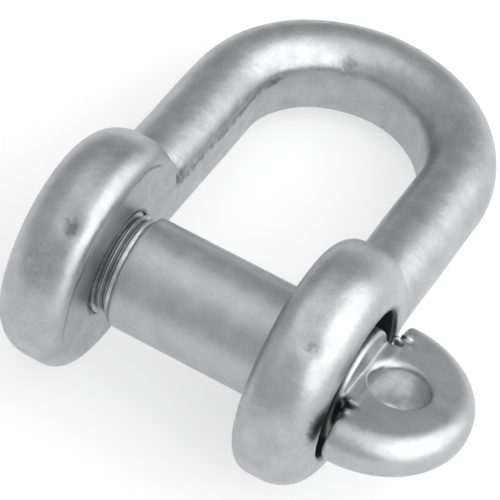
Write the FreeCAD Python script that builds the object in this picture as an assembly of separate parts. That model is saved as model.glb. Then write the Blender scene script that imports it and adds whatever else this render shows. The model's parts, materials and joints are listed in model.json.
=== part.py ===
"""Screw pin shackle: one forged U-shaped body with two round eyes, and one screw pin with a flat eye.

Frame, in millimetres: +X runs along the pin towards its flat eye, +Y points level from the pin to the
crown, and +Z is up. The origin is on the pin axis, midway between the two eyes. The shackle lies on a
level surface, where it rests on the rims of both eyes and on the crown.
"""
import FreeCAD, Part
import math
import os

from FreeCAD import Vector

# Body: driving dimensions
jaw_width = 24.0  # clear distance between the two eyes
inner_length = 49.0  # pin axis to the inside of the crown
bar_round = 5.9  # radius of the bar's rounded outside
bar_centre = 4.2  # distance of that radius's centre from the flat inner band
band_edge = 0.8  # rounding beside the flat inner band
eye_radius = 16.0
eye_thick = 10.0
eye_offset = 0.4  # eye centre lies this far from the pin axis, towards the crown
eye_inner_round = 2.9
eye_outer_round = 5.0
leg_blend = 1.6  # fillet between a leg and its eye
bore_radius = 7.8
mouth_radius = 9.6  # the plain bore is wider at its outer end, round the pin's neck
mouth_depth = 3.6
mouth_floor_round = 1.2
mouth_round = 0.7
bore_chamfer = 0.5

# Screw thread M14 x 1, right-hand, with a free-running clearance
pitch = 1.0
pitch_radius = 6.675
flank_play = 0.10  # gap along the axis on each flank
stud_crest = 6.90
stud_root = 6.30
hole_crest = 6.52
hole_root = 7.05
hole_chamfer = 0.6

# Pin: driving dimensions
shank_radius = 7.5
shoulder_gap = 2.5  # from the threaded eye's inner face to the end of the full shank
shoulder_chamfer = 0.6
split_depth = 0.4  # the shank is divided this far inside the plain bore
split_chamfer = 0.35
stud_setback = 0.3  # the stud ends this far inside the eye's outer face
stud_chamfer = 0.9
head_play = 1.3  # between the plain eye's outer face and the flat eye's back edges
shank_stub = 0.3  # the shank's round end stands this far outside the plain eye
neck_half_width = 6.8  # half the width of the neck between the shank and the flat eye
stub_round = 0.5
flat_eye_radius = 12.9
flat_eye_thick = 6.3
flat_eye_rim = 2.9
flat_eye_centre = 24.2  # along the pin axis
flat_eye_turn = -5.5  # degrees about the pin axis, from the plane of the bow
flat_eye_corner = 0.8
lanyard_radius = 4.0
lanyard_centre = 27.2
lanyard_edge = 0.4

# Derived dimensions
jaw_half = jaw_width / 2
leg_length = inner_length - jaw_half
eye_outer = jaw_half + eye_thick
stud_end = -(eye_outer - stud_setback)
shank_start = -(jaw_half - shoulder_gap)
shank_split = jaw_half + split_depth
crown_contact = inner_length + bar_centre
lie_angle = math.degrees(math.asin((eye_radius - bar_round) / (crown_contact - eye_offset)))

x_axis = Vector(1, 0, 0)
y_axis = Vector(0, 1, 0)
z_axis = Vector(0, 0, 1)
origin = Vector(0, 0, 0)


def arc(start, middle, end):
    """Edge of a circular arc through three points."""
    return Part.Arc(start, middle, end).toShape()


def line(start, end):
    """Straight edge between two points."""
    return Part.LineSegment(start, end).toShape()


def disc(x, radius, length):
    """Cylinder about the pin axis that starts at x and runs towards +X."""
    return Part.makeCylinder(radius, length, Vector(x, 0, 0), x_axis)


def cone(x, radius_start, radius_end, length):
    """Cone about the pin axis that starts at x and runs towards +X."""
    return Part.makeCone(radius_start, radius_end, length, Vector(x, 0, 0), x_axis)


def turned(outline, axis_point, axis):
    """Solid of revolution of a closed outline given as edges."""
    face = Part.Face(Part.Wire(outline))
    return face.revolve(axis_point, axis, 360)


def lay_down(shape):
    """Turn the shackle about the pin axis until it rests on both eyes and on the crown."""
    shape.rotate(origin, x_axis, -lie_angle)
    return shape


def bar_section():
    """Bar section at the -X leg's foot: rounded outside, flat band inside, in a plane across the leg."""
    half_band = math.sqrt(bar_round**2 - bar_centre**2)
    centre_x = -jaw_half - bar_centre
    outside = Vector(centre_x - bar_round, 0, 0)
    low = Vector(-jaw_half, 0, -half_band)
    high = Vector(-jaw_half, 0, half_band)
    return Part.Wire([line(low, high), arc(high, outside, low)])


def bow():
    """U-shaped bar: a leg, a half-round crown and the other leg, as one swept solid."""
    foot_left = Vector(-jaw_half, 0, 0)
    bend_left = Vector(-jaw_half, leg_length, 0)
    crown = Vector(0, inner_length, 0)
    bend_right = Vector(jaw_half, leg_length, 0)
    foot_right = Vector(jaw_half, 0, 0)
    path = Part.Wire([line(foot_left, bend_left), arc(bend_left, crown, bend_right), line(bend_right, foot_right)])
    swept = path.makePipeShell([bar_section()], True, False)
    inner_edges = [edge for edge in swept.Edges if is_band_edge(edge)]
    return swept.makeFillet(band_edge, inner_edges)


def is_band_edge(edge):
    """True for the long edges where the flat inner band meets the rounded outside."""
    half_band = math.sqrt(bar_round**2 - bar_centre**2)
    box = edge.BoundBox
    level = box.ZLength < 0.01
    return level and abs(abs(box.ZMin) - half_band) < 0.01


def eye():
    """Thick round eye of the +X leg, without its hole: flat faces and a heavily rounded rim."""
    inner = jaw_half
    outer = eye_outer
    top = eye_radius
    slope = math.sqrt(0.5)
    centre = Vector(0, eye_offset, 0)
    hub_in = Vector(inner, 0, 0)
    hub_out = Vector(outer, 0, 0)
    face_in = Vector(inner, top - eye_inner_round, 0)
    rim_in = Vector(inner + eye_inner_round, top, 0)
    mid_in = Vector(inner + eye_inner_round * (1 - slope), top - eye_inner_round * (1 - slope), 0)
    rim_out = Vector(outer - eye_outer_round, top, 0)
    face_out = Vector(outer, top - eye_outer_round, 0)
    mid_out = Vector(outer - eye_outer_round * (1 - slope), top - eye_outer_round * (1 - slope), 0)
    outline = [
        line(hub_in, face_in),
        arc(face_in, mid_in, rim_in),
        line(rim_in, rim_out),
        arc(rim_out, mid_out, face_out),
        line(face_out, hub_out),
        line(hub_out, hub_in),
    ]
    shape = turned(outline, origin, x_axis)
    shape.translate(centre)
    return shape


def is_leg_joint(edge):
    """True for the edges where a leg runs into the rim of its eye."""
    middle = edge.CenterOfMass
    return middle.y > eye_radius * 0.5 and middle.y < eye_radius * 1.3 and edge.Length > 3


def thread_path(radius, start, length):
    """Right-hand helix about the pin axis, from x = start towards +X."""
    helix = Part.makeLongHelix(pitch, length, radius, 0)
    helix.rotate(origin, y_axis, 90)
    helix.translate(Vector(start, 0, 0))
    return helix


def thread_groove(narrow_radius, narrow_width, wide_radius, wide_width, start, length):
    """Swept groove with 60 degree flanks between two radii, for cutting a thread."""
    overcut = 0.1
    beyond = overcut * (wide_radius - narrow_radius)
    widen = overcut * (wide_width - narrow_width)
    mouth_radius = wide_radius + beyond
    mouth_half = (wide_width + widen) / 2
    helix = thread_path(wide_radius, start, length)
    first = helix.Vertexes[0].Point
    away = Vector(0, first.y, first.z).normalize()
    corners = [
        Vector(start - mouth_half, 0, 0) + away * mouth_radius,
        Vector(start - narrow_width / 2, 0, 0) + away * narrow_radius,
        Vector(start + narrow_width / 2, 0, 0) + away * narrow_radius,
        Vector(start + mouth_half, 0, 0) + away * mouth_radius,
    ]
    profile = Part.makePolygon(corners + corners[:1])
    return Part.Wire(helix.Edges).makePipeShell([profile], True, True)


def flank_width(width, step):
    """Groove width after moving by step along the radius, on 60 degree flanks."""
    return width + 2 * step * math.tan(math.radians(30))


def stud_groove():
    """Groove between the pin's thread ridges, open at both ends of the stud."""
    mid_width = pitch / 2 + flank_play
    root_width = flank_width(mid_width, stud_root - pitch_radius)
    crest_width = flank_width(mid_width, stud_crest - pitch_radius)
    start = stud_end - 2.5 * pitch
    length = shank_start - stud_end + 5 * pitch
    return thread_groove(stud_root, root_width, stud_crest, crest_width, start, length)


def hole_groove():
    """Groove in the wall of the threaded eye, half a pitch away from the pin's groove."""
    mid_width = pitch / 2 + flank_play
    root_width = flank_width(mid_width, pitch_radius - hole_root)
    crest_width = flank_width(mid_width, pitch_radius - hole_crest)
    start = stud_end - 3 * pitch
    length = eye_thick + 6 * pitch
    return thread_groove(hole_root, root_width, hole_crest, crest_width, start, length)


def threaded_hole():
    """Tool that cuts the threaded hole through the -X eye."""
    inner = -jaw_half
    outer = -eye_outer
    wide = hole_crest + hole_chamfer
    hole = disc(outer - 1, hole_crest, eye_thick + 2)
    mouth_out = cone(outer, wide, hole_crest, hole_chamfer)
    mouth_in = cone(inner - hole_chamfer, hole_crest, wide, hole_chamfer)
    return hole.fuse([mouth_out, mouth_in])


def plain_bore():
    """Tool that cuts the plain bore through the +X eye, with its wide outer mouth."""
    hole = disc(jaw_half - 1, bore_radius, eye_thick + 2)
    inner_mouth = cone(jaw_half, bore_radius + bore_chamfer, bore_radius, bore_chamfer)
    return hole.fuse([inner_mouth, wide_mouth()])


def wide_mouth():
    """Tool for the wide end of the plain bore: round in its floor's corner and at its edge."""
    slope = math.sqrt(0.5)
    floor = eye_outer - mouth_depth
    wall = mouth_radius
    hub_floor = Vector(floor, 0, 0)
    floor_end = Vector(floor, wall - mouth_floor_round, 0)
    corner = Vector(floor + mouth_floor_round * (1 - slope), wall - mouth_floor_round * (1 - slope), 0)
    wall_start = Vector(floor + mouth_floor_round, wall, 0)
    wall_end = Vector(eye_outer - mouth_round, wall, 0)
    flare = Vector(eye_outer - mouth_round * (1 - slope), wall + mouth_round * (1 - slope), 0)
    edge = Vector(eye_outer, wall + mouth_round, 0)
    hub_edge = Vector(eye_outer, 0, 0)
    outline = [
        line(hub_floor, floor_end),
        arc(floor_end, corner, wall_start),
        line(wall_start, wall_end),
        arc(wall_end, flare, edge),
        line(edge, hub_edge),
        line(hub_edge, hub_floor),
    ]
    return turned(outline, origin, x_axis)


def shackle_body():
    """The forged body: bow and two eyes in one piece, one eye threaded and one bored plain."""
    plain_eye = eye()
    threaded_eye = eye().mirror(origin, x_axis)
    body = bow().fuse([plain_eye, threaded_eye])
    joints = [edge for edge in body.Edges if is_leg_joint(edge)]
    body = body.makeFillet(leg_blend, joints)
    body = body.cut([plain_bore(), threaded_hole()])
    return body.cut(hole_groove())


def pin_shank():
    """Smooth load-bearing part of the pin, from the shoulder beside the thread to the plain bore."""
    length = shank_split - shank_start - shoulder_chamfer - split_chamfer
    shank = disc(shank_start + shoulder_chamfer, shank_radius, length)
    shoulder = cone(shank_start, shank_radius - shoulder_chamfer, shank_radius, shoulder_chamfer)
    far_edge = cone(shank_split - split_chamfer, shank_radius, shank_radius - split_chamfer, split_chamfer)
    return shank.fuse([shoulder, far_edge]).removeSplitter()


def pin_thread():
    """Threaded end of the pin, with a chamfered tip."""
    length = shank_start - stud_end
    stud = disc(stud_end + stud_chamfer, stud_crest, length - stud_chamfer)
    tip = cone(stud_end, stud_crest - stud_chamfer, stud_crest, stud_chamfer)
    stud = stud.fuse(tip).removeSplitter()
    return stud.cut(stud_groove())


def flat_eye():
    """Half-round flat eye with a rounded rim, before it is joined to the shank."""
    half = flat_eye_thick / 2
    rim = flat_eye_rim
    slope = math.sqrt(0.5)
    reach = flat_eye_radius - rim
    low_hub = Vector(0, 0, -half)
    low_face = Vector(reach, 0, -half)
    low_mid = Vector(reach + rim * slope, 0, -half + rim * (1 - slope))
    low_rim = Vector(flat_eye_radius, 0, -half + rim)
    high_rim = Vector(flat_eye_radius, 0, half - rim)
    high_mid = Vector(reach + rim * slope, 0, half - rim * (1 - slope))
    high_face = Vector(reach, 0, half)
    high_hub = Vector(0, 0, half)
    outline = [
        line(low_hub, low_face),
        arc(low_face, low_mid, low_rim),
        line(low_rim, high_rim),
        arc(high_rim, high_mid, high_face),
        line(high_face, high_hub),
        line(high_hub, low_hub),
    ]
    whole = turned(outline, origin, z_axis)
    whole.translate(Vector(flat_eye_centre, 0, 0))
    back = eye_outer + head_play
    size = 4 * flat_eye_radius
    behind = Part.makeBox(size, size, size, Vector(back - size, -size / 2, -size / 2))
    half_round = whole.cut(behind)
    corners = [edge for edge in half_round.Edges if abs(edge.BoundBox.XMax - back) < 0.01]
    half_round = half_round.makeFillet(flat_eye_corner, corners)
    neck_start = shank_split + flat_eye_rim
    neck_size = Vector(flat_eye_centre - neck_start, 2 * neck_half_width, flat_eye_thick)
    neck_corner = Vector(neck_start, -neck_half_width, -half)
    neck = Part.makeBox(neck_size.x, neck_size.y, neck_size.z, neck_corner)
    return half_round.fuse(neck).removeSplitter()


def pin_eye():
    """Flat end of the pin: the shank's last stretch, its round end and the flat eye with its hole."""
    stub_end = eye_outer + shank_stub
    stub = disc(shank_split, shank_radius, stub_end - shank_split)
    far_edges = [edge for edge in stub.Edges if abs(edge.BoundBox.XMin - stub_end) < 0.01]
    stub = stub.makeFillet(stub_round, far_edges)
    near_edges = [edge for edge in stub.Edges if abs(edge.BoundBox.XMax - shank_split) < 0.01]
    stub = stub.makeChamfer(split_chamfer, near_edges)
    hole = Part.makeCylinder(lanyard_radius, 2 * flat_eye_thick, Vector(lanyard_centre, 0, -flat_eye_thick), z_axis)
    plate = flat_eye().cut(hole)
    hole_edges = [edge for edge in plate.Edges if is_hole_rim(edge)]
    plate = plate.makeFillet(lanyard_edge, hole_edges)
    head = stub.fuse(plate)
    head.rotate(origin, x_axis, flat_eye_turn)
    return head


def is_hole_rim(edge):
    """True for the two round edges of the hole in the flat eye."""
    box = edge.BoundBox
    round_edge = abs(box.XLength - 2 * lanyard_radius) < 0.01
    return round_edge and box.ZLength < 0.01


parts = {
    "shackle_body": shackle_body,
    "pin_shank": pin_shank,
    "pin_thread": pin_thread,
    "pin_eye": pin_eye,
}

os.makedirs("parts", exist_ok=True)
for name, make in parts.items():
    solid = lay_down(make())
    solid.exportStep(os.path.join("parts", name + ".step"))
    print(name, "valid", solid.isValid(), "solids", len(solid.Solids), "volume", round(solid.Volume, 1))
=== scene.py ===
import json
import math

import bmesh
import bpy
import numpy as np
import openvdb
from mathutils import Matrix, Vector


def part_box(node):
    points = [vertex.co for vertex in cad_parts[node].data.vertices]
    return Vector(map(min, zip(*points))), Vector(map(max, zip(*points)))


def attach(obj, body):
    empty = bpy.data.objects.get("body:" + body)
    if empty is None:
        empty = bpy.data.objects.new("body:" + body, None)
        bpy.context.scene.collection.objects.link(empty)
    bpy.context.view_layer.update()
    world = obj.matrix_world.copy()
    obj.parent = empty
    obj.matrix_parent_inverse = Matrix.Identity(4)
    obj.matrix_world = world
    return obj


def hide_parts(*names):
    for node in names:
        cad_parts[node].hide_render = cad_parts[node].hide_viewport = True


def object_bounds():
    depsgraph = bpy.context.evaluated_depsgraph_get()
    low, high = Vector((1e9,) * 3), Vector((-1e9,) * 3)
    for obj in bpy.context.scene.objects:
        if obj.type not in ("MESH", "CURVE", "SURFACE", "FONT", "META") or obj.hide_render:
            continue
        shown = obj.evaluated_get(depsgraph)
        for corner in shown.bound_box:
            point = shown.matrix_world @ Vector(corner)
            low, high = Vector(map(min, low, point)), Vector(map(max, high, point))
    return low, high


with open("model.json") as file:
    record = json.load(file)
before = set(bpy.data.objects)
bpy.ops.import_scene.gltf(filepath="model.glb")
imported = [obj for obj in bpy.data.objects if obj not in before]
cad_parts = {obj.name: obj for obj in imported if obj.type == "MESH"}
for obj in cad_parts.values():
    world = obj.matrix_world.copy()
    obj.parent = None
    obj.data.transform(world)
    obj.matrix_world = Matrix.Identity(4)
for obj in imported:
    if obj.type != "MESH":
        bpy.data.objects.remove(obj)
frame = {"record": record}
cad_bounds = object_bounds()

# ---------------------------------------------------------------- sizes
# The shapes are worked out in millimetres in the plane of the bow: x along the pin, y to the crown,
# z across the bow. They are then laid down onto the eyes and the crown, as the frame is.
MM = 0.001
mounts = {m["name"]: m for m in frame["record"]["mounts"]}
saddle = Vector(mounts["crown_saddle"]["pos_m"]) / MM
lanyard = Vector(mounts["lanyard_hole"]["pos_m"]) / MM
lanyard_axis = Vector(mounts["lanyard_hole"]["axis"])
head_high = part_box("pin_eye")[1] / MM
stud_low, stud_high = (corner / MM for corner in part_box("pin_thread"))

LIE = math.atan2(-saddle.z, saddle.y)  # tilt of the bow as it lies
FLAT_TURN = math.atan2(-lanyard_axis.y, lanyard_axis.z) + LIE  # turn of the flat eye from the bow's plane

INNER_LENGTH = saddle.length
JAW_HALF = 12.0
LEG_LENGTH = INNER_LENGTH - JAW_HALF
LEG_FOOT = 2.0  # the legs end here, inside the eyes
BAR_ROUND = 5.9
BAR_CENTRE = 4.15
UPPER_DEPTH = 5.18  # the bar's upper half is a little oval, so its band is narrower there
BAND_EDGE = 0.6
BAND_HALF_WIDTH = 2.4
EYE_OUTER = 22.0
EYE_RADIUS = 16.0
EYE_OFFSET = 0.4
EYE_FLATTENED = 0.09  # how much the threaded eye is flattened towards the crown
FLATTENED_FROM = 8.0  # the full flattening is reached this far from the eye's centre
EYE_INNER_ROUND = 2.9
EYE_OUTER_ROUND = 5.0
FACE_EDGE = EYE_RADIUS - EYE_INNER_ROUND + 0.4
LEG_BLEND = 0.7
WEB_START = 6.0  # inside the eye
WEB_END = 15.8
WEB_TAPER = 2.0
WEB_RADIUS = 14.3
WEB_HALF_DEPTH = 1.9
WEB_EDGE = 0.7
WEB_BLEND = 0.8
WEB_SUNK = 0.9  # the web starts this deep in the eye, rises over WEB_RISE and is flush at WEB_FLUSH
WEB_RISE = 6.0
WEB_FLUSH = 12.5
WEB_CORNER = 1.0
BORE_RADIUS = 7.8
BORE_EDGE = 0.35
MOUTH_RADIUS = 10.1
MOUTH_DEPTH = 3.6
MOUTH_ROUND = 0.5
MOUTH_FLOOR_ROUND = 1.2
MOUTH_STEP_ROUND = 0.4
CLEAR = 2.0  # how far a cut runs on past the surface it starts from

BODY_DENTS = [  # place, reach and depth
    ((-15.0, -10.0, 12.1), 1.6, 0.30),
    ((17.8, -9.6, 12.4), 1.4, 0.25),
    ((-16.7, -14.0, 7.0), 1.8, 0.25),
    ((16.1, -13.8, 7.3), 1.8, 0.25),
    ((-4.6, 48.3, 3.9), 0.9, 0.20),
    ((-13.2, 15.2, 4.6), 1.2, 0.25),
]
BODY_MARKS_AND_SHADE = [  # place, reach and darkness
    ((-15.0, -10.0, 12.1), 1.3, 0.60),
    ((17.8, -9.6, 12.4), 0.9, 0.55),
    ((-16.9, -13.6, 7.6), 2.4, 0.22),
    ((-12.4, 15.3, 3.6), 2.2, 0.65),
    ((-4.6, 48.3, 3.9), 1.7, 0.40),
    ((-17.5, 9.0, 13.4), 2.2, 0.22),
    ((12.2, 40.5, 4.4), 2.0, 0.22),
    ((-14.5, 24.0, 5.6), 1.8, 0.22),
    # painted shade, not a mark: the plain eye's outer face beside its mouth, in the narrow gap to the pin's
    # flat eye on the side away from the crown
    ((21.9, -11.0, 2.4), 2.5, 0.75),
]

SHANK_RADIUS = mounts["pin_span"]["dims"]["r_mm"]
SHOULDER = stud_high.x
SHOULDER_EDGE = 0.5
SHANK_END = 22.3
SHANK_END_EDGE = 0.6
FLAT_CENTRE = 24.2
FLAT_RADIUS = head_high.x - FLAT_CENTRE
FLAT_THICK = 6.3
FLAT_RIM = 2.9
FLAT_BACK = 23.3
FLAT_CORNER = 0.9
NECK_HALF = 6.8
NECK_START = 15.5  # inside the shank
NECK_EDGE = 0.5
NECK_BLEND = 0.3
SHANK_BLEND = 0.4
TORN_CORNERS = [((23.4, 8.2, 2.4), 1.3), ((23.0, -7.3, 3.4), 1.2)]  # place and reach
PIN_MARKS = [  # place, reach and darkness
    ((26.7, -10.6, 3.0), 1.2, 0.40),
    ((23.2, -7.3, 3.6), 1.5, 0.45),
    ((24.2, 8.4, 2.6), 1.2, 0.30),
]
HOLE_RADIUS = mounts["lanyard_hole"]["dims"]["r_mm"]
HOLE_EDGE = 0.4
HOLE_LOWER_EDGE = 0.15
HOLE_WEAR = 1.1  # extra rounding where the hole's upper edge is worn
HOLE_WEAR_TOWARDS = math.radians(140)  # from +X, towards the crown
HOLE_BURR = 0.9

PITCH = 1.0
STUD_CREST = 6.90
STUD_ROOT = 6.32
STUD_EDGE = 0.9
RUNOUT = 0.7  # slope of the thread's last groove beside the shoulder
THREAD_STEPS = 90
LINER_CREST = 6.54
LINER_ROOT = 7.04
LINER_BEHIND = LINER_ROOT + 0.1
LINER_OUTSIDE = 7.30
LINER_EDGE = 0.55
LINER_SINK = 0.03  # the thread's wall ends this far inside the eye's faces


# ---------------------------------------------------------------- solid shapes as distances
def smooth_max(a, b, blend):
    """Larger of two distances, rounded over where they meet."""
    share = np.clip(0.5 + 0.5 * (a - b) / blend, 0, 1)
    return b * (1 - share) + a * share + blend * share * (1 - share)


def smooth_min(a, b, blend):
    """Smaller of two distances, filleted where they meet."""
    return -smooth_max(-a, -b, blend)


def rounded_box(along, across, half_along, half_across, rounding):
    """Distance to a box profile with rounded corners; the rounding may differ from place to place."""
    a = np.abs(along) - half_along + rounding
    b = np.abs(across) - half_across + rounding
    outside = np.hypot(np.maximum(a, 0), np.maximum(b, 0))
    return np.minimum(np.maximum(a, b), 0) + outside - rounding


def forging_waves(p, count, longest, shortest, height, seed):
    """Soft unevenness of a forged and tumbled surface, as a sum of long waves."""
    rng = np.random.default_rng(seed)
    total = np.zeros(len(p))
    for _ in range(count):
        direction = rng.normal(size=3)
        direction /= np.linalg.norm(direction)
        wave = rng.uniform(shortest, longest)
        phase = rng.uniform(0, 2 * math.pi)
        total += np.sin(p @ direction * (2 * math.pi / wave) + phase)
    return total * height / math.sqrt(count)


def dent(p, place, reach, depth):
    """Shallow dent round a place on the surface."""
    square = ((p - np.array(place)) ** 2).sum(1)
    return depth * np.exp(-square / reach**2)


def bow_distance(x, y, z):
    """U-shaped bar: rounded outside, flat band inside."""
    side = np.abs(x) - JAW_HALF
    bend = np.hypot(x, y - LEG_LENGTH) - JAW_HALF
    outward = np.where(y < LEG_LENGTH, side, bend)
    depth = np.where(z > 0, UPPER_DEPTH, BAR_ROUND)
    oval = np.hypot((outward - BAR_CENTRE - BAR_ROUND + depth) / depth, z / BAR_ROUND) - 1
    bar = smooth_max(oval * depth, -outward, BAND_EDGE)
    return np.maximum(bar, LEG_FOOT - y)


def eye_distance(x, y, z):
    """Two thick round eyes with flat faces and heavily rounded rims."""
    half = (EYE_OUTER - JAW_HALF) / 2
    along = np.abs(x) - JAW_HALF - half
    flattened = 1 + EYE_FLATTENED * np.clip((y - EYE_OFFSET) / FLATTENED_FROM, 0, 1) * (x < 0)
    across = np.hypot((y - EYE_OFFSET) * flattened, z)
    rounding = np.where(along > 0, EYE_OUTER_ROUND, EYE_INNER_ROUND)
    return rounded_box(along, across, half, EYE_RADIUS, rounding)


def web_distance(x, y, z):
    """Flat tapering web that carries the threaded eye's inner face on into the leg's band."""
    side = -x - JAW_HALF
    taper = (np.abs(z) - BAND_HALF_WIDTH - WEB_TAPER * (WEB_END - y)) / math.hypot(1, WEB_TAPER)
    edge = smooth_max(taper, np.hypot(y, z) - WEB_RADIUS, WEB_CORNER)
    sunk = WEB_SUNK * np.clip((WEB_FLUSH - y) / WEB_RISE, 0, 1)
    plate = np.abs(side - sunk - WEB_HALF_DEPTH) - WEB_HALF_DEPTH
    return np.maximum(smooth_max(edge, plate, WEB_EDGE), WEB_START - y)


def bore_distance(x, y, z):
    """Air in the two eyes: a plain bore with a wide outer mouth, and the hole behind the thread's wall."""
    radius = np.hypot(y, z)
    mouth = rounded_box(x - EYE_OUTER - CLEAR, radius, MOUTH_DEPTH + CLEAR, MOUTH_RADIUS, MOUTH_FLOOR_ROUND)
    plain = smooth_min(radius - BORE_RADIUS, mouth, MOUTH_STEP_ROUND)
    return np.where(x > 0, plain, radius - LINER_BEHIND)


def body_distance(p):
    """The forged body, with its unevenness and its dents."""
    x, y, z = p.T
    solid = smooth_min(bow_distance(x, y, z), eye_distance(x, y, z), LEG_BLEND)
    solid = smooth_min(solid, web_distance(x, y, z), WEB_BLEND)
    solid = solid + forging_waves(p, count=14, longest=18.0, shortest=7.0, height=0.04, seed=4)
    for place, reach, depth in BODY_DENTS:
        solid = solid + dent(p, place, reach, depth)
    air = bore_distance(x, y, z)
    rim = np.where(x > EYE_OUTER - CLEAR, MOUTH_ROUND, BORE_EDGE)
    return smooth_max(solid, -air, rim)


def flat_eye_distance(x, across, height):
    """Half-round flat eye with a rounded rim and a straight back, before its hole."""
    half = FLAT_THICK / 2
    rim = rounded_box(np.hypot(x - FLAT_CENTRE, across), height, FLAT_RADIUS, half, FLAT_RIM)
    return smooth_max(rim, FLAT_BACK - x, FLAT_CORNER)


def hole_distance(x, across, height):
    """Air in the flat eye's hole, a little narrower where the drill left a burr underneath."""
    burr = HOLE_BURR * np.clip(-height / (FLAT_THICK / 2), 0, 1) ** 2
    return np.hypot(x - lanyard.x, across) - HOLE_RADIUS + burr


def hole_edge(x, across, height):
    """Rounding of the hole's edge, widest on the worn side."""
    away = np.maximum(np.hypot(x - lanyard.x, across), 0.1)
    facing = ((x - lanyard.x) * math.cos(HOLE_WEAR_TOWARDS) + across * math.sin(HOLE_WEAR_TOWARDS)) / away
    worn = np.clip(facing, 0, 1) ** 2 * np.clip(height / (FLAT_THICK / 2), 0, 1) ** 2
    return np.where(height > 0, HOLE_EDGE + HOLE_WEAR * worn, HOLE_LOWER_EDGE)


def neck_distance(x, across, height):
    """Flat neck from the shank's end into the flat eye."""
    wide = rounded_box(across, height, NECK_HALF, FLAT_THICK / 2, NECK_EDGE)
    return np.maximum(np.maximum(wide, NECK_START - x), x - FLAT_CENTRE)


def pin_distance(p):
    """Smooth shank and flat eye of the pin."""
    x, y, z = p.T
    across = y * math.cos(FLAT_TURN) + z * math.sin(FLAT_TURN)
    height = z * math.cos(FLAT_TURN) - y * math.sin(FLAT_TURN)
    radius = np.hypot(y, z)
    middle = (SHOULDER + SHANK_END) / 2
    edge = np.where(x > middle, SHANK_END_EDGE, SHOULDER_EDGE)
    shank = rounded_box(x - middle, radius, (SHANK_END - SHOULDER) / 2, SHANK_RADIUS, edge)
    flat = smooth_min(flat_eye_distance(x, across, height), neck_distance(x, across, height), NECK_BLEND)
    flat = smooth_max(flat, -hole_distance(x, across, height), hole_edge(x, across, height))
    flat = flat + forging_waves(p, count=10, longest=14.0, shortest=6.0, height=0.015, seed=9)
    torn = sum(dent(p, place, reach, 1.0) for place, reach in TORN_CORNERS)
    torn = torn * forging_waves(p, count=8, longest=2.2, shortest=1.1, height=0.55, seed=3)
    return smooth_min(shank, flat + torn, SHANK_BLEND)


# ---------------------------------------------------------------- meshes
def laid_down(points):
    """Points in the plane of the bow, in millimetres, to the frame as it lies, in metres."""
    turn = Matrix.Rotation(-LIE, 3, "X")
    return (points @ np.array(turn).T) * MM


def make_mesh(name, points, faces):
    """Smooth-shaded mesh object from points in the plane of the bow."""
    mesh = bpy.data.meshes.new(name)
    mesh.from_pydata(laid_down(points).tolist(), [], faces)
    mesh.polygons.foreach_set("use_smooth", [True] * len(mesh.polygons))
    mesh.update()
    piece = bpy.data.objects.new(name, mesh)
    bpy.context.scene.collection.objects.link(piece)
    return piece


def gradient(distance, points):
    """Direction in which the distance grows, at each point."""
    reach = 0.02
    slopes = [(distance(points + step) - distance(points - step)) / (2 * reach) for step in np.eye(3) * reach]
    return np.stack(slopes, -1)


def skin(distance, low, high, step):
    """Quad mesh of the surface where the distance is zero, with its points moved onto the surface."""
    axes = [np.arange(a, b + step, step) for a, b in zip(low, high)]
    grid = np.stack(np.meshgrid(*axes, indexing="ij"), -1)
    values = distance(grid.reshape(-1, 3)).astype(np.float32)
    volume = openvdb.FloatGrid()
    volume.copyFromArray(values.reshape(grid.shape[:3]))
    volume.transform = openvdb.createLinearTransform(voxelSize=step)
    points, quads = volume.convertToQuads(isovalue=0.0)
    points = points.astype(float) + np.array([axis[0] for axis in axes])
    for _ in range(3):
        slope = gradient(distance, points)
        off = distance(points) / np.maximum((slope**2).sum(1), 0.25)
        points = points - slope * np.clip(off, -step / 2, step / 2)[:, None]
    return points, quads.tolist()


def weld(piece, sharp_above):
    """Joins points that lie in one place, turns the faces outwards and keeps edges crisp above an angle."""
    mesh = piece.data
    work = bmesh.new()
    work.from_mesh(mesh)
    bmesh.ops.remove_doubles(work, verts=work.verts, dist=2e-6)
    bmesh.ops.dissolve_degenerate(work, edges=work.edges, dist=1e-6)
    bmesh.ops.recalc_face_normals(work, faces=work.faces)
    work.to_mesh(mesh)
    work.free()
    mesh.set_sharp_from_angle(angle=math.radians(sharp_above))
    return piece


def ridge_middle(angle):
    """Place along the pin of one ridge's middle at an angle about it; the others are whole pitches away."""
    return stud_low.x + PITCH * (angle / (2 * math.pi) - 0.75)


def thread_columns(low, high, profile, rim_radius, limit, before, after):
    """Helical wall as columns of (x, radius) round the pin, closed by the rows before and after it."""
    turns = math.ceil((high - low) / PITCH) + 4
    columns = []
    for angle in np.linspace(0, 2 * math.pi, THREAD_STEPS + 1):
        column = list(before)
        for turn in range(turns):
            for offset, radius in profile:
                x = ridge_middle(angle) + (turn - 2) * PITCH + offset
                inside = low < x < high
                column.append((x, limit(x, radius)) if inside else (min(max(x, low), high), rim_radius))
        column.extend(after)
        columns.append([(x, r * math.cos(angle), r * math.sin(angle)) for x, r in column])
    return columns


def thread_piece(name, columns):
    """Closed mesh object from the columns of a thread."""
    rows = len(columns[0])
    points = np.array([point for column in columns for point in column])
    faces = []
    for j in range(len(columns) - 1):
        for i in range(rows - 1):
            corner = j * rows + i
            faces.append((corner, corner + 1, corner + rows + 1, corner + rows))
    return weld(make_mesh(name, points, faces), 30)


def stud_thread():
    """Threaded end of the pin, with a chamfered tip."""
    low, high = stud_low.x, SHOULDER + 0.4
    profile = [(-0.40, STUD_ROOT), (-0.07, STUD_CREST), (0.07, STUD_CREST), (0.40, STUD_ROOT)]
    tip = STUD_CREST - STUD_EDGE

    def limit(x, radius):
        runout = STUD_CREST - RUNOUT * (SHOULDER - x)
        return min(max(radius, runout), tip + x - low)

    columns = thread_columns(low, high, profile, tip, limit, [(low, 0)], [(high, 0)])
    return thread_piece("pin_stud", columns)


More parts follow.
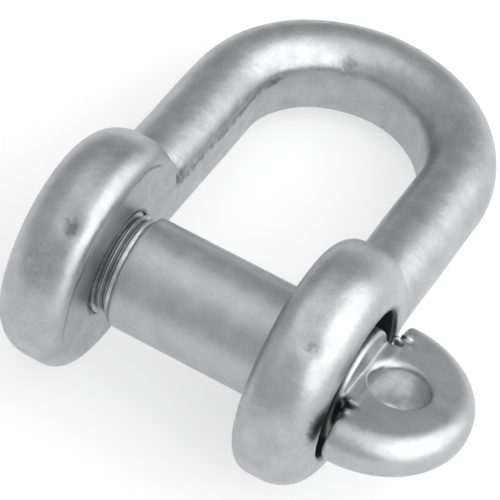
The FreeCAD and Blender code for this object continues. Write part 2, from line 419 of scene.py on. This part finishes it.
def hole_thread():
    """Wall of the threaded hole, a ring let into the eye."""
    low, high = -EYE_OUTER + LINER_SINK, -JAW_HALF - LINER_SINK
    profile = [(-0.38, LINER_CREST), (-0.09, LINER_ROOT), (0.09, LINER_ROOT), (0.38, LINER_CREST)]
    mouth = LINER_CREST + LINER_EDGE

    def limit(x, radius):
        return max(radius, mouth - (x - low), mouth - (high - x))

    outer = [(high, LINER_OUTSIDE), (low, LINER_OUTSIDE)]
    columns = thread_columns(low, high, profile, mouth, limit, [(low, LINER_OUTSIDE)], outer)
    return thread_piece("threaded_hole_wall", columns)


# ---------------------------------------------------------------- materials
class Finish:
    """A metal material under construction, with positions in the plane of the bow in millimetres."""

    def __init__(self, name):
        self.material = bpy.data.materials.new(name)
        self.material.use_nodes = True
        self.nodes = self.material.node_tree.nodes
        self.links = self.material.node_tree.links
        self.shader = self.nodes["Principled BSDF"]
        self.shader.inputs["Metallic"].default_value = 1.0
        place = self.nodes.new("ShaderNodeTexCoord").outputs["Object"]
        self.place = self.mapped(self.mapped(place, scale=(1 / MM,) * 3), turn=(LIE, 0, 0))

    def mapped(self, vector, scale=(1, 1, 1), turn=(0, 0, 0), shift=(0, 0, 0)):
        """Vector scaled, then turned, then shifted."""
        node = self.nodes.new("ShaderNodeMapping")
        node.inputs["Scale"].default_value = scale
        node.inputs["Rotation"].default_value = turn
        node.inputs["Location"].default_value = shift
        self.links.new(vector, node.inputs["Vector"])
        return node.outputs["Vector"]

    def noise(self, size, detail=3.0, roughness=0.5, stretch=(1, 1, 1)):
        """Noise whose patches are about size millimetres across."""
        node = self.nodes.new("ShaderNodeTexNoise")
        node.inputs["Scale"].default_value = 1 / size
        node.inputs["Detail"].default_value = detail
        node.inputs["Roughness"].default_value = roughness
        self.links.new(self.mapped(self.place, scale=stretch), node.inputs["Vector"])
        return node.outputs["Fac"]

    def span(self, value, low, high, to_low, to_high):
        """Value mapped from one range to another, kept inside it."""
        node = self.nodes.new("ShaderNodeMapRange")
        for socket, number in zip(list(node.inputs)[1:5], (low, high, to_low, to_high)):
            socket.default_value = number
        self.links.new(value, node.inputs["Value"])
        return node.outputs["Result"]

    def math(self, operation, a, b=0.0):
        """Result of one sum on two values, either of which may be a number."""
        node = self.nodes.new("ShaderNodeMath")
        node.operation = operation
        for socket, value in zip(node.inputs, (a, b)):
            if isinstance(value, (int, float)):
                socket.default_value = value
            else:
                self.links.new(value, socket)
        return node.outputs["Value"]

    def product(self, *values):
        """Product of several values."""
        total = values[0]
        for value in values[1:]:
            total = self.math("MULTIPLY", total, value)
        return total

    def parts(self):
        """The three coordinates of a place."""
        node = self.nodes.new("ShaderNodeSeparateXYZ")
        self.links.new(self.place, node.inputs["Vector"])
        return node.outputs["X"], node.outputs["Y"], node.outputs["Z"]

    def hypot(self, a, b):
        """Length of the longest side over two others at a right angle."""
        return self.math("SQRT", self.math("ADD", self.math("POWER", a, 2.0), self.math("POWER", b, 2.0)))

    def band(self, value, middle, full, none):
        """1 within full of a middle value and 0 from none away from it."""
        return self.span(self.math("ABSOLUTE", self.math("SUBTRACT", value, middle)), full, none, 1.0, 0.0)

    def ramp(self, value, dark, bright):
        """Colour between two others."""
        node = self.nodes.new("ShaderNodeValToRGB")
        node.color_ramp.elements[0].color = (*dark, 1)
        node.color_ramp.elements[1].color = (*bright, 1)
        self.links.new(value, node.inputs["Fac"])
        return node.outputs["Color"]

    def mixed(self, colour, other, amount):
        """Colour taken towards another grey by an amount from 0 to 1."""
        node = self.nodes.new("ShaderNodeMix")
        node.data_type = "RGBA"
        self.links.new(amount, node.inputs["Factor"])
        self.links.new(colour, node.inputs["A"])
        node.inputs["B"].default_value = (other, other, other, 1)
        return node.outputs["Result"]

    def darkened(self, colour, amount):
        """Colour made darker by an amount from 0 to 1."""
        return self.mixed(colour, 0.10, amount)

    def away(self, place):
        """Distance from a place, in millimetres."""
        node = self.nodes.new("ShaderNodeVectorMath")
        node.operation = "DISTANCE"
        self.links.new(self.place, node.inputs[0])
        node.inputs[1].default_value = place
        return node.outputs["Value"]

    def near(self, place, reach):
        """1 at a place and 0 beyond a reach from it, in millimetres, with a ragged edge."""
        wander = self.span(self.noise(0.8), 0.3, 0.7, -0.4 * reach, 0.4 * reach)
        ragged = self.math("ADD", self.away(place), wander)
        return self.span(ragged, 0.3 * reach, reach, 1.0, 0.0)

    def stained(self, colour, spots):
        """Colour with dark spots, each a place, a reach and a strength."""
        for place, reach, strength in spots:
            colour = self.darkened(colour, self.math("MULTIPLY", self.near(place, reach), strength))
        return colour

    def bump(self, height, depth, before=None):
        """Surface relief with its depth in millimetres, on top of an earlier one."""
        node = self.nodes.new("ShaderNodeBump")
        node.inputs["Distance"].default_value = depth * MM
        self.links.new(height, node.inputs["Height"])
        if before:
            self.links.new(before, node.inputs["Normal"])
        self.links.new(node.outputs["Normal"], self.shader.inputs["Normal"])
        return node.outputs["Normal"]

    def colour(self, value):
        """Sets the base colour."""
        self.links.new(value, self.shader.inputs["Base Color"])

    def gloss(self, value):
        """Sets the roughness."""
        self.links.new(value, self.shader.inputs["Roughness"])


def forged_finish():
    """Tumbled stainless forging: mottled, matt, faintly pitted, with dark marks where it was struck, and
    painted shade in its creases, inside the plain bore and beside the gap under the pin's flat eye.
    """
    finish = Finish("forged_metal")
    speckle = finish.product(finish.noise(0.45, 2.0), 0.35)
    mottle = finish.math("ADD", finish.noise(4.0, 4.0, 0.6), speckle)
    tone = finish.ramp(finish.span(mottle, 0.50, 0.85, 0.0, 1.0), (0.385, 0.40, 0.405), (0.475, 0.49, 0.495))
    # painted shade in the eye's creases is taken together with the parting line; the same lines are also sunk
    # as a shallow groove further down
    lines = finish.math("MAXIMUM", eye_crease(finish), parting_line(finish))
    # painted shade inside the plain bore
    tone = finish.darkened(tone, finish.math("MAXIMUM", lines, bore_shade(finish)))
    finish.colour(finish.stained(tone, BODY_MARKS_AND_SHADE))
    finish.gloss(finish.span(finish.noise(2.2, 4.0, 0.65), 0.3, 0.7, 0.33, 0.47))
    grain = finish.bump(finish.noise(0.30, 2.0, 0.6), 0.012)
    pits = finish.span(finish.noise(1.1, 3.0, 0.6), 0.58, 0.75, 0.0, -1.0)
    pitted = finish.bump(pits, 0.018, grain)
    soft = finish.bump(finish.noise(3.2, 2.0), 0.09, pitted)
    finish.bump(finish.product(lines, -1.0), 0.10, soft)
    return finish.material


def eye_place(finish):
    """Position along the pin, distance from an eye's own axis, and the two positions across the pin."""
    x, y, z = finish.parts()
    off = finish.math("SUBTRACT", y, EYE_OFFSET)
    threaded = finish.math("LESS_THAN", x)
    flattened = finish.product(finish.span(off, 0, FLATTENED_FROM, 0, EYE_FLATTENED), threaded)
    radius = finish.hypot(finish.product(off, finish.math("ADD", flattened, 1.0)), z)
    return x, radius, y, z


def eye_crease(finish):
    """Painted shade along thin crease lines round an eye's flat inner face and where the leg runs into the
    eye, from 0 to 1.
    """
    x, radius, y, z = eye_place(finish)
    wander = finish.span(finish.noise(5.0), 0.3, 0.7, -0.25, 0.25)
    inner = finish.span(finish.math("ABSOLUTE", x), JAW_HALF + 0.9, JAW_HALF + 1.4, 1.0, 0.0)
    away = finish.product(finish.span(y, 7.0, 9.0, 1.0, 0.0), finish.span(z, -6.0, 0.0, 0.0, 1.0))
    face = finish.product(finish.band(finish.math("ADD", radius, wander), FACE_EDGE, 0.08, 0.32), inner, away)
    beyond = finish.band(radius, EYE_RADIUS + 0.30, 0.10, 0.35)
    upper = finish.span(y, 10.0, 11.0, 0.0, 1.0)
    outer = finish.span(x, -15.0, -14.0, 1.0, 0.0)
    strength = finish.span(finish.noise(4.0), 0.35, 0.65, 0.15, 0.7)
    return finish.product(finish.math("MAXIMUM", face, finish.product(beyond, upper, outer)), strength)


def bore_shade(finish):
    """Painted shade inside the plain bore and its mouth, out over the mouth's rounded rim, from 0 to 1."""
    x, radius, _, _ = eye_place(finish)
    within = finish.span(radius, MOUTH_RADIUS + 0.5, MOUTH_RADIUS + 0.9, 0.95, 0.0)
    inner = finish.span(x, JAW_HALF + 0.3, JAW_HALF + 1.3, 0.0, 1.0)
    outer = finish.span(x, EYE_OUTER - 0.2, EYE_OUTER + 0.05, 1.0, 0.0)
    return finish.product(within, inner, outer)


def parting_line(finish):
    """Ragged line left by the forging dies along the inner band of the threaded leg, from 0 to 1."""
    x, y, z = finish.parts()
    wander = finish.span(finish.noise(2.0, 4.0, 0.75), 0.3, 0.7, -2.9, -1.5)
    line = finish.band(finish.math("ADD", z, wander), 0.0, 0.15, 0.75)
    along = finish.span(y, 14.5, 16.0, 0.0, 1.0)
    leg = finish.span(x, -11.3, -10.6, 1.0, 0.0)
    inside = finish.span(x, -13.6, -13.0, 0.0, 1.0)
    strength = finish.span(finish.noise(2.0), 0.40, 0.60, 0.25, 0.75)
    return finish.product(line, along, leg, inside, strength)


def pin_finish():
    """Turned and polished stainless pin: fine marks round it, faint scratches and smudges, with painted light
    on the lanyard hole's wall and painted shade just outside the plain eye.
    """
    finish = Finish("pin_metal")
    speckle = finish.product(finish.noise(0.5, 2.0), 0.3)
    mottle = finish.math("ADD", finish.noise(3.5, 4.0, 0.6), speckle)
    tone = finish.ramp(finish.span(mottle, 0.48, 0.82, 0.0, 1.0), (0.40, 0.415, 0.425), (0.465, 0.48, 0.495))
    # painted light: the wall of the lanyard hole is lifted towards a pale grey in patches
    wall = finish.span(finish.away((lanyard.x, 0, 0)), HOLE_RADIUS + 0.6, HOLE_RADIUS + 0.9, 1.0, 0.0)
    patches = finish.span(finish.noise(1.2, 4.0, 0.7), 0.4, 0.6, 0.5, 1.0)
    tone = finish.mixed(tone, 0.66, finish.product(wall, patches))
    x, y, _ = finish.parts()
    # painted shade on the pin just outside the plain eye, before the flat eye's back and on the side away
    # from the crown
    past = finish.span(x, EYE_OUTER - 1.5, EYE_OUTER - 0.5, 0.0, 0.9)
    behind = finish.span(x, FLAT_BACK - 0.2, FLAT_BACK + 0.3, 1.0, 0.0)
    front = finish.span(y, -6.5, -5.0, 1.0, 0.0)
    finish.colour(finish.darkened(finish.stained(tone, PIN_MARKS), finish.product(past, behind, front)))
    finish.gloss(finish.span(finish.noise(1.8, 4.0, 0.65), 0.3, 0.7, 0.33, 0.45))
    turned = finish.bump(finish.noise(0.35, 2.0, 0.5, (3.0, 0.35, 0.35)), 0.003)
    grain = finish.bump(finish.noise(0.30, 2.0, 0.6), 0.006, turned)
    finish.bump(finish.noise(3.0, 2.0), 0.025, grain)
    return finish.material


def thread_finish():
    """Cut thread, a little duller than the pin, with painted shade in the roots of the stud's thread and of
    the hole's thread.
    """
    finish = Finish("thread_metal")
    mottle = finish.noise(1.2, 3.0, 0.6)
    tone = finish.ramp(finish.span(mottle, 0.3, 0.7, 0.0, 1.0), (0.36, 0.37, 0.375), (0.50, 0.515, 0.52))
    _, y, z = finish.parts()
    radius = finish.hypot(y, z)
    # painted shade in the thread roots: groove on the stud, hollow in the hole's thread
    groove = finish.span(radius, STUD_ROOT + 0.05, STUD_ROOT + 0.20, 0.5, 0.0)
    hollow_shade = finish.span(radius, STUD_CREST + 0.03, STUD_CREST + 0.12, 0.0, 0.85)
    finish.colour(finish.darkened(tone, finish.math("MAXIMUM", groove, hollow_shade)))
    finish.gloss(finish.span(finish.noise(0.8), 0.3, 0.7, 0.28, 0.42))
    finish.bump(finish.noise(0.25, 2.0), 0.006)
    return finish.material


def dress(piece, material, slot, body, *nodes):
    """Gives a piece its material and its place in the frame."""
    piece.data.materials.clear()
    piece.data.materials.append(material)
    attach(piece, body)
    if nodes:
        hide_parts(*nodes)


forged_metal = forged_finish()
pin_metal = pin_finish()
thread_metal = thread_finish()

# ---------------------------------------------------------------- pieces
BODY_VOXEL = 0.36
PIN_VOXEL = 0.30
margin = np.array([1.0, 1.0, 1.0])
reach = np.array([EYE_OUTER + 0.3, EYE_RADIUS, EYE_RADIUS])
crown_end = INNER_LENGTH + BAR_CENTRE + BAR_ROUND
body_high = np.array([reach[0], crown_end, reach[2]])
body_skin = skin(body_distance, -reach - margin, body_high + margin, BODY_VOXEL)
forged_body = make_mesh("forged_body", *body_skin)
dress(forged_body, forged_metal, "forged_steel", "root", "shackle_body")
dress(hole_thread(), thread_metal, "thread_steel", "root")

pin_reach = np.array([FLAT_CENTRE + FLAT_RADIUS, FLAT_RADIUS, FLAT_RADIUS])
pin_low = np.array([SHOULDER, -FLAT_RADIUS, -FLAT_RADIUS])
pin_skin = skin(pin_distance, pin_low - margin, pin_reach + margin, PIN_VOXEL)
screw_pin = make_mesh("screw_pin", *pin_skin)
dress(screw_pin, pin_metal, "pin_steel", "pin_screw", "pin_shank", "pin_eye")
dress(stud_thread(), thread_metal, "thread_steel", "pin_screw", "pin_thread")


# ---------------------------------------------------------------- stage, light and camera
def make_floor(low):
    """Plain pale floor under the shackle."""
    mesh = bpy.data.meshes.new("floor")
    size = 3.0
    corners = [(-size, -size, low), (size, -size, low), (size, size, low), (-size, size, low)]
    mesh.from_pydata(corners, [], [(0, 1, 2, 3)])
    floor = bpy.data.objects.new("floor", mesh)
    bpy.context.scene.collection.objects.link(floor)
    material = bpy.data.materials.new("floor_paper")
    material.use_nodes = True
    shader = material.node_tree.nodes["Principled BSDF"]
    shader.inputs["Base Color"].default_value = (0.40, 0.40, 0.40, 1)
    shader.inputs["Emission Color"].default_value = (1, 1, 1, 1)
    shader.inputs["Emission Strength"].default_value = 0.60
    shader.inputs["Roughness"].default_value = 1.0
    mesh.materials.append(material)


def direction(azimuth, elevation):
    """Unit vector. Azimuth 0 is towards the crown and 90 towards the flat eye."""
    a, e = math.radians(azimuth), math.radians(elevation)
    return Vector((math.sin(a) * math.cos(e), math.cos(a) * math.cos(e), math.sin(e)))


def make_room():
    """Even grey room light, a little dimmer beyond the threaded eye."""
    world = bpy.data.worlds.new("room")
    world.use_nodes = True
    nodes, links = world.node_tree.nodes, world.node_tree.links
    toward = nodes.new("ShaderNodeVectorMath")
    toward.operation = "DOT_PRODUCT"
    links.new(nodes.new("ShaderNodeTexCoord").outputs["Generated"], toward.inputs[0])
    toward.inputs[1].default_value = direction(-38, 8)
    bright, dim = 0.64, 0.44
    ramp = nodes.new("ShaderNodeMapRange")
    for socket, number in zip(list(ramp.inputs)[1:5], (0.55, 0.95, bright, dim)):
        socket.default_value = number
    links.new(toward.outputs["Value"], ramp.inputs["Value"])
    links.new(ramp.outputs["Result"], nodes["Background"].inputs["Color"])
    bpy.context.scene.world = world


def soft_light(name, azimuth, elevation, distance, width, height, power):
    """Large lamp aimed at the shackle."""
    data = bpy.data.lights.new(name, "AREA")
    data.shape = "RECTANGLE"
    data.size = width
    data.size_y = height
    data.energy = power
    lamp = bpy.data.objects.new(name, data)
    place = direction(azimuth, elevation) * distance
    lamp.location = place
    lamp.rotation_mode = "QUATERNION"
    lamp.rotation_quaternion = (-place).to_track_quat("-Z", "Y")
    bpy.context.scene.collection.objects.link(lamp)


def make_camera():
    """Camera where the photographer stood: high, to the front right, and rolled a little."""
    azimuth, elevation, roll = (math.radians(angle) for angle in (22.383, 54.123, 8.620))
    back = Vector(
        (
            math.sin(azimuth) * math.cos(elevation),
            -math.cos(azimuth) * math.cos(elevation),
            math.sin(elevation),
        )
    )
    level = Vector((math.cos(azimuth), math.sin(azimuth), 0))
    upright = back.cross(level)
    right = level * math.cos(roll) + upright * math.sin(roll)
    up = upright * math.cos(roll) - level * math.sin(roll)
    target = Vector((-0.583, 14.320, -5.516)) * MM
    distance = 380.1
    data = bpy.data.cameras.new("camera")
    data.sensor_width = 36.0
    data.lens = 212.97
    camera = bpy.data.objects.new("camera", data)
    turn = Matrix((right, up, back)).transposed().to_4x4()
    camera.matrix_world = Matrix.Translation(target + back * distance * MM) @ turn
    bpy.context.scene.collection.objects.link(camera)
    bpy.context.scene.camera = camera


make_floor(cad_bounds[0].z)
soft_light("lamp_side", 83, 34, 0.8, 1.7, 1.0, 9.6)
soft_light("lamp_above", 60, 84, 0.8, 0.9, 0.9, 1.6)
make_room()
bpy.context.scene.view_settings.view_transform = "Standard"
make_camera()
